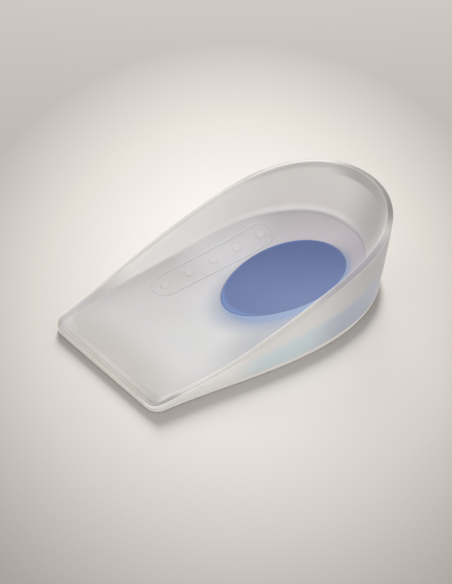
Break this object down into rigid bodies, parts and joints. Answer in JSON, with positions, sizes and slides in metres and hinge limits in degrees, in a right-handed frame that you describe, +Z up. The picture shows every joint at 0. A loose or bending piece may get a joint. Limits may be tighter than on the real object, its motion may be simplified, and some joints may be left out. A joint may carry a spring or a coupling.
{
  "type": "silicone heel cup",
  "caption": "Soft translucent wedge-soled heel cup with a low toe edge, thin rising walls and a softer oval plug under the heel.",
  "frame": {"origin": "middle of the bounding box at the height of the ground", "axes": "+Z up from the sole, +Y towards the heel, -Y towards the toe edge, +X to the right seen from the toe edge"},
  "size_m": [0.0668, 0.1084, 0.0291],
  "materials": {
    "silicone": "milky translucent silicone, satin",
    "soft_gel": "soft blue silicone gel, satin"
  },
  "bodies": {
    "root": {"cup_shell": "silicone", "heel_plug": "soft_gel"}
  },
  "joints": []
}
